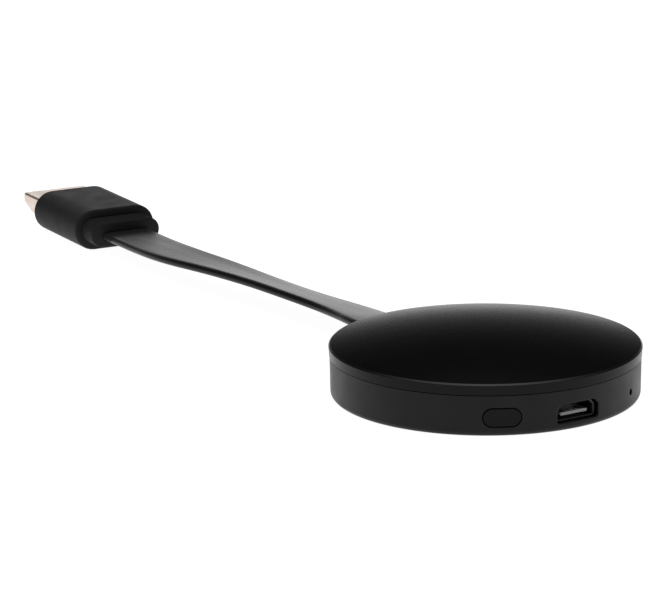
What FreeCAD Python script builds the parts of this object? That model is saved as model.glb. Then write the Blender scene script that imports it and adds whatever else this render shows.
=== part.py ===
import FreeCAD, Part
import math
import os
from FreeCAD import Placement, Rotation, Vector

# Streaming media player: a round puck with a short flat cable and an HDMI plug.
# Millimetres, +Z up.  Origin: centre of the puck's underside, on the surface it lies on.
# The micro-USB port faces -Y and the cable leaves towards +Y.

# --- puck, outside -----------------------------------------------------------------
rim_r = 27.0             # widest circle, at the cover's rim
rim_z = 8.8              # height of that circle
rim_chamfer = 0.28       # bright thin edge between dome and skirt
dome_h = 3.1             # height of the dome above the rim
skirt_h = 1.65           # cover's skirt, from the rim down to the seam
skirt_taper = 0.08       # how far the skirt leans inwards over its height
seam_gap = 0.08          # visible groove between cover and housing
seam_step = 0.08         # the housing sits this much inside the skirt
bottom_draft = 0.25      # housing's foot inside the rim circle
bottom_edge_r = 1.0      # rounded edge round the underside

# --- puck, shells ------------------------------------------------------------------
wall_t = 2.1             # from the rim circle to the cavity
floor_t = 1.3            # housing floor
cover_t = 1.4            # dome thickness
lip_h = 0.9              # tongue of the housing inside the cover's skirt
lip_t = 1.05             # thickness of that tongue
fit_gap = 0.1            # clearance between parts that are assembled
running_gap = 0.05       # clearance between parts that slide or are a snug fit
press_gap = 0.02         # clearance of an insulator in its shell
cut_over = 1.0           # cutters reach this much past what they cut
wall_cut_in = 1.2        # openings reach this much inside the wall's inner face
post_root = 0.2          # posts start this far inside the floor
hook_angles = (30.0, 150.0, 200.0, 340.0)
hook_w = 5.0             # width of a snap hook
hook_t = 0.9             # thickness of a snap hook
hook_barb = 0.5          # how far its barb reaches into the wall
hook_barb_h = 0.8        # height of the barb
hook_drop = 2.2          # barb's upper face below the rim
hook_root = 0.3          # finger reaches this far into the dome

# --- circuit board -----------------------------------------------------------------
pcb_room = 2.0           # board's edge to the cavity's wall
pcb_t = 1.0
pcb_z = 4.3              # underside of the board
board_screw_angles = (15.0, 165.0, 215.0, 325.0)
board_screw_inset = 3.6  # from the board's edge
boss_r = 2.0
screw_r = 0.7            # shank radius
screw_head_r = 1.35
screw_head_h = 0.7
screw_bite = 2.2         # thread length in a boss
thread_gap = 0.05        # boss hole round the shank
screw_hole_gap = 0.15    # hole round the shank in a board or plate
recess_len = 1.5         # cross recess in a screw head
recess_w = 0.3
recess_deep = 0.35

# --- micro-USB receptacle, hung under the board --------------------------------------
usb_w = 7.5              # shell width, wide side down
usb_h = 2.5              # shell height
usb_slant = 0.9          # slanted upper corners
usb_len = 5.4
usb_sheet = 0.25
usb_flare = 0.2          # how far the mouth is flared out
usb_flare_len = 0.7
usb_inset = 1.1          # mouth behind the rim circle's front point
usb_side_room = 0.2      # the opening in the wall is this much wider at each side
usb_tongue_w = 5.4
usb_tongue_t = 0.5
usb_tongue_inset = 0.45  # tongue tip behind the mouth
usb_tongue_gap = 0.3     # between the tongue and the shell's floor
usb_block_len = 1.0      # insulator's block at the back of the shell
usb_contact_n = 5
usb_contact_pitch = 0.65
usb_contact_w = 0.36
usb_contact_t = 0.1
usb_contact_inset = 0.4  # behind the tongue's tip

# --- reset button and its switch ---------------------------------------------------
button_angle = -29.6     # from the port, towards -X
button_w = 6.4
button_h = 3.1
button_drop = 1.0        # button's axis below the board
button_gap = 0.12        # groove round the cap
button_travel = 0.4
button_ear = 1.0         # ears that keep the cap in the housing
button_ear_t = 0.6
button_ear_trim = 0.15   # ears are this much lower than the cap, above and below
cap_room = 0.5           # cap's back inside the wall's inner face
switch_w = 4.7
switch_h = 1.95
switch_len = 3.2
switch_set_back = 0.3    # behind the board's edge
plunger_w = 1.6
plunger_h = 1.0
plunger_len = 1.5
plunger_gap = 0.05       # between plunger and cap
switch_back_gap = 0.3    # room behind the plunger when it is pressed

# --- status light ------------------------------------------------------------------
led_angle = 31.2         # from the port, towards +X
led_hole_r = 0.55
led_drop = 1.1           # pinhole's axis below the board
pipe_inset = 1.4         # end of the light pipe behind the rim circle
pipe_block = 2.0         # light pipe's block under the LED
pipe_block_h = 0.8
pipe_set_back = 0.6      # behind the board's edge
led_size = (1.6, 0.8, 0.55)

# --- chips, cans and cooling -------------------------------------------------------
can_box = (-13.0, 13.0, -13.0, 7.0)   # shield can: x0, x1, y0, y1
can_h = 2.0
can_t = 0.2
soc_size = 12.0
soc_h = 1.1
soc_lid_h = 0.3
soc_lid_margin = 0.8
soc_pad_size = 10.2
soc_at = (-4.5, -3.0)
memory_size = (8.0, 7.5, 0.9)
memory_at = ((7.5, -8.0), (7.5, 1.5))
flash_size = (11.5, 13.0, 1.0)
flash_at = (8.0, 3.0)
wifi_size = (9.0, 7.0, 1.5)
wifi_board_t = 0.5
wifi_lid_margin = 0.4
wifi_at = (-9.5, 12.0)
crystal_size = (3.2, 2.5, 0.7)
crystal_at = (14.8, 8.6)
inductor_size = 3.0
inductor_h = 1.5
inductor_at = ((-12.0, -6.0), (-7.5, -6.0), (-12.0, -1.5))
capacitor_size = (1.0, 0.5, 0.5)
capacitor_rows = (       # first x and y, step in x and y, how many
    (-2.5, 9.0, 1.6, 0.0, 6),
    (-2.5, 11.0, 1.6, 0.0, 6),
    (-15.5, -8.0, 0.0, 1.8, 5),
    (15.5, -6.0, 0.0, 1.8, 5),
)
part_corner_r = 0.6      # upright corners of the can and the inductors
antenna_w = 9.0
antenna_h = 1.8
antenna_t = 0.3
antenna_lift = 0.6       # blade above the board
antenna_foot_w = 1.0
antenna_toe = 0.9        # soldered toe
antenna_toe_t = 0.2
antenna_angles = (-5.0, 185.0)
antenna_inset = 1.5      # from the board's edge
pad_t = 0.5              # thermal pad between can and heat spreader
pad_margin = 2.0         # pad smaller than the can
spreader_r = 18.4
spreader_t = 0.8
spreader_hole_angles = (45, 135, 225, 315)
spreader_hole_ring_r = 14.7
spreader_hole_r = 1.2

# --- flat cable --------------------------------------------------------------------
cable_w = 10.0
cable_t = 1.55
cable_z = 5.4            # cable centre where it leaves the puck
cable_clearance = 0.05   # round the cable in its grommet and collar
cable_in_y = 17.4        # inner end of the jacket
cable_points = (
    (0.0, cable_in_y, cable_z),
    (0.0, 32.0, cable_z),
    (2.6, 46.5, 4.3),
    (2.0, 60.5, 4.2),
    (1.1, 74.5, 4.4),
    (0.0, 88.2, 4.6),
    (-1.2, 101.8, 4.45),
    (0.4, 117.5, 3.75),
    (1.78, 133.0, 3.75),
)
arc_share = 0.45         # of the shorter run, used by each tangent arc
wire_n = 10
wire_r = 0.2
wire_pitch = 0.85
wire_len = 3.4

# --- cable's fixing in the puck ----------------------------------------------------
grommet_lip = 0.6        # flange beyond the window, at the sides
grommet_lip_z = 0.35     # flange beyond the window, above and below
grommet_t = 2.1
window_room = 0.6        # rubber beside the cable, in the wall's window
window_room_z = 0.575    # rubber above and below the cable
clamp_t = 0.7
clamp_inset = 0.2        # clamp behind the jacket's inner end
clamp_len = 2.6
clamp_screw_room = 3.2   # screw's axis beside the cable
clamp_overhang = 1.7     # plate beyond the screw's axis
clamp_boss_r = 1.5
notch_room = 0.5         # cut-out of the board beside the clamp
notch_reach = 1.8        # cut-out in front of the jacket's inner end

# --- HDMI plug, in its own frame: +Y towards its tip, z = 0 on the surface ------------
plug_w = 17.5
plug_h = 8.2
plug_len = 21.6
plug_edge_r = 0.5
collar_w = 15.0
collar_h = 5.0
collar_len = 5.2
collar_depth = 1.5       # collar inside the overmold
collar_edge_r = 0.35
core_wall = 1.45         # overmold round the inner mould, at the sides
core_wall_z = 1.15       # overmold round the inner mould, above and below
core_len = 12.9
hdmi_w = 13.9            # HDMI type A shell, wide side up
hdmi_h = 4.45
hdmi_sheet = 0.35
hdmi_out = 9.1           # shell standing out of the overmold
hdmi_side_h = 1.8        # upright part of its sides
hdmi_slant_w = 1.65      # lower face narrower by this at each side
hdmi_slant_share = 0.7   # the lower corners' inner outline moves in by this share
slot_side = 1.15         # shell's side to the slot for the socket's tongue
slot_h = 1.9
slot_depth = 8.6
insulator_inset = 0.5
hdmi_contact = (0.45, 8.0, 0.2)
hdmi_contact_n = (10, 9)     # above and below the slot
contact_inset = 0.4
window_size = (1.7, 2.6)     # spring windows in the shell
window_x = 3.3
window_inset = 3.4           # windows behind the shell's tip

# --- values worked out from the ones above --------------------------------------------
bottom_r = rim_r - bottom_draft
cavity_r = rim_r - wall_t
pcb_r = cavity_r - pcb_room
board_screw_ring_r = pcb_r - board_screw_inset
antenna_ring_r = pcb_r - antenna_inset
button_z = pcb_z - button_drop
led_z = pcb_z - led_drop
clamp_y = (cable_in_y + clamp_inset, cable_in_y + clamp_inset + clamp_len)
clamp_screw_x = cable_w / 2 + clamp_screw_room
notch_w = 2 * (clamp_screw_x + clamp_overhang + notch_room)
notch_y = cable_in_y - notch_reach
window_w = cable_w + 2 * window_room
window_h = cable_t + 2 * window_room_z
grommet_w = window_w + 2 * grommet_lip
grommet_h = window_h + 2 * grommet_lip_z
core_w = plug_w - 2 * core_wall
core_h = plug_h - 2 * core_wall_z
hdmi_low_w = hdmi_w - 2 * hdmi_slant_w
slot_w = hdmi_w - 2 * slot_side
seam_z = rim_z - skirt_h
housing_top_z = seam_z - seam_gap
skirt_low_r = rim_r - skirt_taper
housing_top_r = skirt_low_r - seam_step
lip_z = seam_z + lip_h
pcb_top = pcb_z + pcb_t
usb_front_y = -(rim_r - usb_inset - usb_flare)
usb_z = pcb_z - usb_h / 2
cap_back_y = -(cavity_r - cap_room)
cap_inner_y = cap_back_y + button_ear_t
switch_front_y = -(pcb_r - switch_set_back)
can_top = pcb_top + can_h
pad_z = can_top
spreader_z = pad_z + pad_t
clamp_z = cable_z + cable_t / 2 + cable_clearance
shell_y0 = collar_depth + core_len
shell_y1 = plug_len + hdmi_out
hdmi_z = plug_h / 2
cable_end, cable_before = Vector(*cable_points[-1]), Vector(*cable_points[-2])
plug_way = (cable_end - cable_before).normalize()
plug_back = cable_end - plug_way * collar_depth
plug_turn = -math.degrees(math.atan2(plug_way.x, plug_way.y))


# --- small helpers -------------------------------------------------------------------
def box(x0, x1, y0, y1, z0, z1):
    return Part.makeBox(x1 - x0, y1 - y0, z1 - z0, Vector(x0, y0, z0))


def box_at(centre, size, z0):
    """A box of size (x, y, z) standing on z0, centred on centre (x, y)."""
    dx, dy, dz = size
    return Part.makeBox(dx, dy, dz, Vector(centre[0] - dx / 2, centre[1] - dy / 2, z0))


def disc(r, z0, z1, x=0.0, y=0.0):
    return Part.makeCylinder(r, z1 - z0, Vector(x, y, z0))


def polar(r, degrees):
    a = math.radians(degrees)
    return r * math.cos(a), r * math.sin(a)


def turned(shape, degrees):
    """The shape turned about the Z axis through the origin."""
    out = shape.copy()
    out.rotate(Vector(0, 0, 0), Vector(0, 0, 1), degrees)
    return out


def lathe(edges):
    """A solid of revolution about Z, from closed edges in the XZ plane."""
    face = Part.Face(Part.Wire(edges))
    return face.revolve(Vector(0, 0, 0), Vector(0, 0, 1), 360)


def chain(points):
    """Straight edges through (r, z) points."""
    spots = [Vector(r, 0, z) for r, z in points]
    return [Part.LineSegment(a, b).toShape() for a, b in zip(spots, spots[1:])]


def arc_through(a, b, c):
    return Part.Arc(Vector(a[0], 0, a[1]), Vector(b[0], 0, b[1]), Vector(c[0], 0, c[1])).toShape()


def ring_sector(r0, r1, z0, z1, width, degrees):
    """A piece of a ring as wide as width, centred on the angle."""
    ring = disc(r1, z0, z1).cut(disc(r0, z0, z1))
    return ring.common(turned(box(0, r1 + 1, -width / 2, width / 2, z0, z1), degrees))


def outline_xz(points, y):
    """A closed wire of straight edges through (x, z) points at height y along Y."""
    return Part.makePolygon([Vector(x, y, z) for x, z in points + points[:1]])


def stadium(w, h, y0, y1, x=0.0, z=0.0):
    """A prism along Y with flat top and bottom and fully round sides."""
    half = w / 2 - h / 2
    body = box(x - half, x + half, y0, y1, z - h / 2, z + h / 2)
    for side in (-half, half):
        end = Part.makeCylinder(h / 2, y1 - y0, Vector(x + side, y0, z), Vector(0, 1, 0))
        body = body.fuse(end)
    return body.removeSplitter()


def end_edges(shape, y):
    """Edges of the shape that lie in the plane at y."""
    def flat(box):
        return max(abs(box.YMin - y), abs(box.YMax - y)) < 1e-6
    return [edge for edge in shape.Edges if flat(edge.BoundBox)]


def group(shapes):
    return Part.makeCompound(shapes)


# --- puck shells -----------------------------------------------------------------------
def housing_outline():
    """The housing's outer surface, as a full solid up to the seam."""
    r, e = bottom_r, bottom_edge_r
    diagonal = e * (1 - math.sqrt(0.5))
    edges = chain([(0, 0), (r - e, 0)])
    edges.append(arc_through((r - e, 0), (r - diagonal, diagonal), (r, e)))
    edges += chain([(r, e), (housing_top_r, housing_top_z), (0, housing_top_z), (0, 0)])
    return lathe(edges)


def dome_height(r):
    """Height of the dome's outer surface above the rim at radius r."""
    base = rim_r - rim_chamfer
    sphere = (base ** 2 + dome_h ** 2) / (2 * dome_h)
    return math.sqrt(sphere ** 2 - r ** 2) - (sphere - dome_h)


def dome_solid(drop, edge_r, low_points):
    """A lathe solid under the dome's surface lowered by drop, closed by low_points."""
    top = rim_z + rim_chamfer - drop
    start = (0, top + dome_height(0))
    middle = (edge_r / 2, top + dome_height(edge_r / 2))
    end = (edge_r, top + dome_height(edge_r))
    edges = [arc_through(start, middle, end)]
    return lathe(edges + chain([end] + low_points + [start]))


def top_cover():
    edge_r = rim_r - rim_chamfer
    shell = dome_solid(0, edge_r, [(rim_r, rim_z), (skirt_low_r, seam_z), (0, seam_z)])
    skirt_in_r = cavity_r + lip_t + fit_gap
    shell = shell.cut(disc(skirt_in_r, seam_z, lip_z + fit_gap))
    hollow_r = cavity_r
    shell = shell.cut(dome_solid(cover_t, hollow_r, [(hollow_r, seam_z), (0, seam_z)]))
    for angle in hook_angles:
        shell = shell.fuse(snap_hook(angle))
    return shell.removeSplitter()


def snap_hook(angle):
    """A finger on the cover's underside with a barb that reaches into the wall."""
    out_r = cavity_r - 2 * fit_gap
    barb_z = rim_z - hook_drop
    root_z = rim_z + rim_chamfer - cover_t + dome_height(out_r) + hook_root
    finger = ring_sector(out_r - hook_t, out_r, barb_z - hook_barb_h, root_z, hook_w, angle)
    barb_r = cavity_r + hook_barb - fit_gap
    barb = ring_sector(out_r - fit_gap, barb_r, barb_z - hook_barb_h, barb_z, hook_w, angle)
    return finger.fuse(barb)


def hook_pocket(angle):
    """The recess in the housing wall for one barb."""
    barb_z = rim_z - hook_drop
    z0 = barb_z - hook_barb_h - fit_gap
    z1 = barb_z + fit_gap
    return ring_sector(cavity_r - fit_gap, cavity_r + hook_barb, z0, z1, hook_w + 4 * fit_gap, angle)


def port_outline(grow, widen=0.0):
    """Micro-USB outline as (x, z) points: wide side down, slanted upper corners."""
    w, h = usb_w / 2 + grow + widen, usb_h / 2 + grow
    knee, top = h - usb_slant, w - usb_slant
    points = [(-w, -h), (w, -h), (w, knee), (top, h), (-top, h), (-w, knee)]
    return [(x, usb_z + z) for x, z in points]


def port_prism(grow, y0, y1, widen=0.0):
    face = Part.Face(outline_xz(port_outline(grow, widen), y0))
    return face.extrude(Vector(0, y1 - y0, 0))


def button_prism(grow, y0, y1):
    return stadium(button_w + 2 * grow, button_h + 2 * grow, y0, y1, z=button_z)


def cable_section(grow, y0, y1):
    return stadium(cable_w + 2 * grow, cable_t + 2 * grow, y0, y1, z=cable_z)


def lower_housing():
    shell = housing_outline()
    lip = disc(cavity_r + lip_t, housing_top_z, lip_z)
    shell = shell.fuse(lip)
    shell = shell.cut(disc(cavity_r, floor_t, lip_z))
    for angle in hook_angles:
        shell = shell.cut(hook_pocket(angle))
    for cutter in wall_openings():
        shell = shell.cut(cutter)
    for piece in floor_posts():
        shell = shell.fuse(piece)
    for x, y, top in screw_spots():
        shell = shell.cut(disc(screw_r + thread_gap, top - screw_bite - fit_gap, top + cut_over, x, y))
    return shell.removeSplitter()


def wall_openings():
    out_r, in_r = rim_r + cut_over, cavity_r - wall_cut_in
    port = port_prism(usb_flare + fit_gap, -out_r, -in_r, usb_side_room)
    button = turned(button_prism(button_gap, -out_r, -in_r), button_angle)
    window = stadium(window_w, window_h, in_r, out_r, z=cable_z)
    hole = Part.makeCylinder(led_hole_r, out_r - in_r, Vector(0, -out_r, led_z), Vector(0, 1, 0))
    return [port, button, window, turned(hole, led_angle)]


def screw_spots():
    """(x, y, top of boss) of every screw in the housing."""
    spots = [polar(board_screw_ring_r, a) + (pcb_z,) for a in board_screw_angles]
    mid_y = sum(clamp_y) / 2
    return spots + [(side * clamp_screw_x, mid_y, clamp_z) for side in (-1, 1)]


def floor_posts():
    """Bosses, the cable's bed and the light pipe's seat on the housing floor."""
    posts = []
    root_z = floor_t - post_root
    for x, y, top in screw_spots():
        radius = boss_r if top == pcb_z else clamp_boss_r
        posts.append(disc(radius, root_z, top, x, y))
    bed_top = cable_z - cable_t / 2 - cable_clearance
    bed_w = cable_w / 2
    posts.append(box(-bed_w, bed_w, clamp_y[0], clamp_y[1], root_z, bed_top))
    seat_y = pipe_block_y()
    seat_top = led_z - pipe_block_h / 2
    half = pipe_block / 2
    seat = box(-half, half, seat_y, seat_y + pipe_block, root_z, seat_top)
    posts.append(turned(seat, led_angle))
    return posts


# --- circuit board and what is on it ---------------------------------------------------
def main_pcb():
    board = disc(pcb_r, pcb_z, pcb_top)
    board = board.cut(box(-notch_w / 2, notch_w / 2, notch_y, pcb_r + cut_over, pcb_z, pcb_top))
    for angle in board_screw_angles:
        x, y = polar(board_screw_ring_r, angle)
        board = board.cut(disc(screw_r + screw_hole_gap, pcb_z, pcb_top, x, y))
    return board


def screw(x, y, under_head, shank):
    head = disc(screw_head_r, under_head, under_head + screw_head_h, x, y)
    body = head.fuse(disc(screw_r, under_head - shank, under_head, x, y))
    recess_z = under_head + screw_head_h - recess_deep
    for size in ((recess_len, recess_w, screw_head_h), (recess_w, recess_len, screw_head_h)):
        body = body.cut(box_at((x, y), size, recess_z))
    return body


def board_screws():
    spots = [polar(board_screw_ring_r, a) for a in board_screw_angles]
    return group([screw(x, y, pcb_top, pcb_t + screw_bite) for x, y in spots])


def clamp_screws():
    mid_y = sum(clamp_y) / 2
    under_head = clamp_z + clamp_t
    return group([screw(s * clamp_screw_x, mid_y, under_head, clamp_t + screw_bite) for s in (-1, 1)])


def usb_shell():
    front, back = usb_front_y, usb_front_y + usb_len
    throat = front + usb_flare_len
    outer = port_prism(0, throat, back)
    inner = port_prism(-usb_sheet, throat, back - usb_sheet)
    mouth = port_loft(usb_flare, 0, front, throat)
    mouth_hole = port_loft(usb_flare - usb_sheet, -usb_sheet, front, throat)
    return outer.cut(inner).fuse(mouth.cut(mouth_hole)).removeSplitter()


def port_loft(grow_front, grow_back, y0, y1):
    wires = [outline_xz(port_outline(grow_front), y0), outline_xz(port_outline(grow_back), y1)]
    return Part.makeLoft(wires, True, True)


def tongue_z():
    return usb_z - usb_h / 2 + usb_sheet + usb_tongue_gap


def usb_insulator():
    back = usb_front_y + usb_len - usb_sheet
    block = port_prism(-usb_sheet - press_gap, back - usb_block_len, back)
    z0 = tongue_z()
    half = usb_tongue_w / 2
    tip = usb_front_y + usb_tongue_inset
    tongue = box(-half, half, tip, back - usb_block_len / 2, z0, z0 + usb_tongue_t)
    return block.fuse(tongue).removeSplitter()


def usb_contacts():
    z0 = tongue_z() + usb_tongue_t
    y0 = usb_front_y + usb_tongue_inset + usb_contact_inset
    y1 = usb_front_y + usb_len - usb_sheet - usb_block_len
    half = usb_contact_w / 2
    first = -(usb_contact_n - 1) / 2
    bars = []
    for i in range(usb_contact_n):
        x = (first + i) * usb_contact_pitch
        bars.append(box(x - half, x + half, y0, y1, z0, z0 + usb_contact_t))
    return group(bars)


def button_cap():
    stem = button_prism(0, -(rim_r + cut_over), cap_back_y).common(housing_outline())
    half_w = button_w / 2 + button_ear
    half_h = button_h / 2 - button_ear_trim
    ears = box(-half_w, half_w, cap_back_y, cap_inner_y, button_z - half_h, button_z + half_h)
    return turned(stem.fuse(ears).removeSplitter(), button_angle)


def tact_switch_body():
    z0 = pcb_z - switch_h
    back = switch_front_y + switch_len
    body = box(-switch_w / 2, switch_w / 2, switch_front_y, back, z0, pcb_z)
    depth = plunger_end_y() + button_travel + switch_back_gap
    half_w, half_h = plunger_w / 2 + running_gap, plunger_h / 2 + running_gap
    hollow = box(-half_w, half_w, switch_front_y, depth, button_z - half_h, button_z + half_h)
    return turned(body.cut(hollow), button_angle)


def plunger_end_y():
    return cap_inner_y + plunger_gap + plunger_len


def tact_switch_plunger():
    y0 = cap_inner_y + plunger_gap
    half_w, half_h = plunger_w / 2, plunger_h / 2
    pin = box(-half_w, half_w, y0, plunger_end_y(), button_z - half_h, button_z + half_h)
    return turned(pin, button_angle)


def pipe_block_y():
    """Front face of the light pipe's block."""
    return -(pcb_r - pipe_set_back)


def light_pipe():
    y0, y1 = pipe_block_y(), pipe_block_y() + pipe_block
    half, low = pipe_block / 2, led_z - pipe_block_h / 2
    high = low + pipe_block_h
    profile = [(y0, low), (y0 + half, low), (y1, led_z), (y1, high), (y0, high), (y0, low)]
    face = Part.Face(Part.makePolygon([Vector(-half, y, z) for y, z in profile]))
    block = face.extrude(Vector(pipe_block, 0, 0))
    rod_r = led_hole_r - running_gap
    tip_y = pipe_inset - rim_r
    rod = Part.makeCylinder(rod_r, y0 - tip_y, Vector(0, tip_y, led_z), Vector(0, 1, 0))
    return turned(block.fuse(rod), led_angle)


def status_led():
    y = pipe_block_y() + pipe_block / 2
    return turned(box_at((0, y), led_size, pcb_z - led_size[2]), led_angle)


def soc():
    body_h, lid_size = soc_h - soc_lid_h, soc_size - 2 * soc_lid_margin
    body = box_at(soc_at, (soc_size, soc_size, body_h), pcb_top)
    lid = box_at(soc_at, (lid_size, lid_size, soc_lid_h), pcb_top + body_h)
    return body.fuse(lid)


def memory_chips():
    return group([box_at(spot, memory_size, pcb_top) for spot in memory_at])


def flash_chip():
    return box_at(flash_at, flash_size, pcb_z - flash_size[2])


def wifi_module():
    w, d, h = wifi_size
    inset = 2 * wifi_lid_margin
    carrier = box_at(wifi_at, (w, d, wifi_board_t), pcb_top)
    lid = box_at(wifi_at, (w - inset, d - inset, h - wifi_board_t), pcb_top + wifi_board_t)
    return carrier.fuse(lid)


def crystal():
    return box_at(crystal_at, crystal_size, pcb_top)


def power_inductors():
    coils = []
    for x, y in inductor_at:
        body = box_at((x, y), (inductor_size, inductor_size, inductor_h), pcb_z - inductor_h)
        uprights = [e for e in body.Edges if e.BoundBox.ZLength > inductor_h / 2]
        coils.append(body.makeFillet(part_corner_r, uprights))
    return group(coils)


def capacitors():
    """Rows of small parts beside the wireless module and along the can."""
    spots = []
    for x, y, step_x, step_y, count in capacitor_rows:
        spots += [(x + step_x * i, y + step_y * i) for i in range(count)]
    return group([box_at(spot, capacitor_size, pcb_top) for spot in spots])


def antennas():
    """Two stamped strips that stand on the board near its edge."""
    strips = []
    half, blade_z = antenna_w / 2, pcb_top + antenna_lift
    foot_y = antenna_foot_w - half
    for angle in antenna_angles:
        blade = box(-antenna_t, 0, -half, half, blade_z, pcb_top + antenna_h)
        foot = box(-antenna_t, 0, -half, foot_y, pcb_top, blade_z)
        toe = box(-antenna_t - antenna_toe, -antenna_t, -half, foot_y, pcb_top, pcb_top + antenna_toe_t)
        strip = blade.fuse(foot).fuse(toe)
        strip.translate(Vector(antenna_ring_r, 0, 0))
        strips.append(turned(strip, angle))
    return group(strips)


def shield_can():
    x0, x1, y0, y1 = can_box
    can = box(x0, x1, y0, y1, pcb_top, can_top)
    uprights = [e for e in can.Edges if e.BoundBox.ZLength > can_h / 2]
    can = can.makeFillet(part_corner_r, uprights)
    inside = box(x0 + can_t, x1 - can_t, y0 + can_t, y1 - can_t, pcb_top, can_top - can_t)
    return can.cut(inside)


def soc_pad():
    z0 = pcb_top + soc_h
    return box_at(soc_at, (soc_pad_size, soc_pad_size, can_top - can_t - z0), z0)


def thermal_pad():
    x0, x1, y0, y1 = can_box
    return box(x0 + pad_margin, x1 - pad_margin, y0 + pad_margin, y1 - pad_margin, pad_z, spreader_z)


def heat_spreader():
    plate = disc(spreader_r, spreader_z, spreader_z + spreader_t)
    for angle in spreader_hole_angles:
        x, y = polar(spreader_hole_ring_r, angle)
        plate = plate.cut(disc(spreader_hole_r, spreader_z, spreader_z + spreader_t, x, y))
    return plate


# --- cable -----------------------------------------------------------------------------
def turn_radius(before, at, after):
    """Radius of the tangent arc at a point of the route."""
    run_in, run_out = at - before, after - at
    half_turn = run_in.getAngle(run_out) / 2
    return arc_share * min(run_in.Length, run_out.Length) / math.tan(half_turn)


def cable_route():
    """The route as straight runs joined by tangent arcs, and the arcs' radii."""
    points = [Vector(*p) for p in cable_points]
    edges, radii = [], []
    last = points[0]
    for before, at, after in zip(points, points[1:], points[2:]):
        run_in, run_out = at - before, after - at
        reach = arc_share * min(run_in.Length, run_out.Length)
        start = at - run_in.normalize() * reach
        end = at + run_out.normalize() * reach
        radius = turn_radius(before, at, after)
        half_turn = math.atan(reach / radius)
        inward = (start + end) * 0.5 - at
        centre_gap = radius / math.cos(half_turn) - radius
        middle = at + inward.normalize() * centre_gap
        edges.append(Part.LineSegment(last, start).toShape())
        edges.append(Part.Arc(start, middle, end).toShape())
        radii.append(radius)
        last = end
    edges.append(Part.LineSegment(last, points[-1]).toShape())
    return Part.Wire(edges), radii


def section_wire(w, h, y, z):
    """A stadium outline in the plane at y, as one closed wire."""
    half, r = w / 2 - h / 2, h / 2
    top_l, top_r = Vector(-half, y, z + r), Vector(half, y, z + r)
    low_l, low_r = Vector(-half, y, z - r), Vector(half, y, z - r)
    right = Part.Arc(top_r, Vector(half + r, y, z), low_r).toShape()
    left = Part.Arc(low_l, Vector(-half - r, y, z), top_l).toShape()
    top = Part.LineSegment(top_l, top_r).toShape()
    low = Part.LineSegment(low_r, low_l).toShape()
    return Part.Wire([top, right, low, left])


def flat_cable():
    route, radii = cable_route()
    section = section_wire(cable_w, cable_t, cable_in_y, cable_z)
    pipe = Part.BRepOffsetAPI.MakePipeShell(route)
    pipe.setBiNormalMode(Vector(0, 0, 1))
    pipe.add(section)
    pipe.build()
    pipe.makeSolid()
    cable = pipe.shape()
    area = Part.Face(section).Area
    print("cable arc radii:", " ".join("%.0f" % r for r in radii))
    print("cable length %.1f, volume %.1f" % (route.Length, cable.Volume))
    print("section x length %.1f" % (area * route.Length))
    return cable


def cable_wires():
    """Conductors from the end of the jacket to the board's pads."""
    first = -(wire_n - 1) / 2
    z = pcb_top + wire_r
    bars = []
    for i in range(wire_n):
        start = Vector((first + i) * wire_pitch, cable_in_y - wire_len, z)
        bars.append(Part.makeCylinder(wire_r, wire_len, start, Vector(0, 1, 0)))
    return group(bars)


def cable_grommet():
    wall_y = math.sqrt(cavity_r ** 2 - (grommet_w / 2) ** 2) - fit_gap
    inner_y = wall_y - grommet_t
    flange = stadium(grommet_w, grommet_h, inner_y, wall_y, z=cable_z)
    neck_w, neck_h = window_w - 2 * running_gap, window_h - 2 * running_gap
    neck = stadium(neck_w, neck_h, wall_y, rim_r, z=cable_z)
    body = flange.fuse(neck.common(housing_outline()))
    passage = cable_section(cable_clearance, inner_y - cut_over, rim_r + cut_over)
    return body.cut(passage).removeSplitter()


def cable_clamp():
    half = clamp_screw_x + clamp_overhang
    plate = box(-half, half, clamp_y[0], clamp_y[1], clamp_z, clamp_z + clamp_t)
    for side in (-1, 1):
        x, y = side * clamp_screw_x, sum(clamp_y) / 2
        plate = plate.cut(disc(screw_r + screw_hole_gap, clamp_z, clamp_z + clamp_t, x, y))
    return plate


# --- HDMI plug -----------------------------------------------------------------------------
def on_cable(shape):
    """A shape from the plug's own frame, moved to where the plug lies."""
    place = Placement(Vector(plug_back.x, plug_back.y, 0), Rotation(Vector(0, 0, 1), plug_turn))
    out = shape.copy()
    out.Placement = place.multiply(out.Placement)
    return out


def hdmi_outline(shrink):
    """HDMI shell outline as (x, z) points: wide side up, lower corners slanted."""
    top, foot = hdmi_w / 2 - shrink, hdmi_low_w / 2 - shrink * hdmi_slant_share
    high, knee, low = hdmi_h / 2 - shrink, hdmi_h / 2 - hdmi_side_h, shrink - hdmi_h / 2
    points = [(-top, high), (top, high), (top, knee), (foot, low), (-foot, low), (-top, knee)]
    return [(x, hdmi_z + z) for x, z in points]


def hdmi_prism(shrink, y0, y1):
    return Part.Face(outline_xz(hdmi_outline(shrink), y0)).extrude(Vector(0, y1 - y0, 0))


def plug_overmold():
    body = stadium(plug_w, plug_h, 0, plug_len, z=hdmi_z)
    body = body.makeFillet(plug_edge_r, end_edges(body, 0) + end_edges(body, plug_len))
    body = body.cut(stadium(collar_w, collar_h, -cut_over, collar_depth, z=hdmi_z))
    body = body.cut(stadium(core_w, core_h, collar_depth, shell_y0, z=hdmi_z))
    return on_cable(body.cut(hdmi_prism(0, shell_y0, plug_len + cut_over)))


def plug_collar():
    body = stadium(collar_w, collar_h, -collar_len, collar_depth, z=hdmi_z)
    body = body.makeFillet(collar_edge_r, end_edges(body, -collar_len))
    w, t = cable_w + 2 * cable_clearance, cable_t + 2 * cable_clearance
    slot = stadium(w, t, -collar_len - cut_over, collar_depth + cut_over, z=cable_end.z)
    return on_cable(body.cut(slot))


def plug_core():
    return on_cable(stadium(core_w, core_h, collar_depth, shell_y0, z=hdmi_z))


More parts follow.
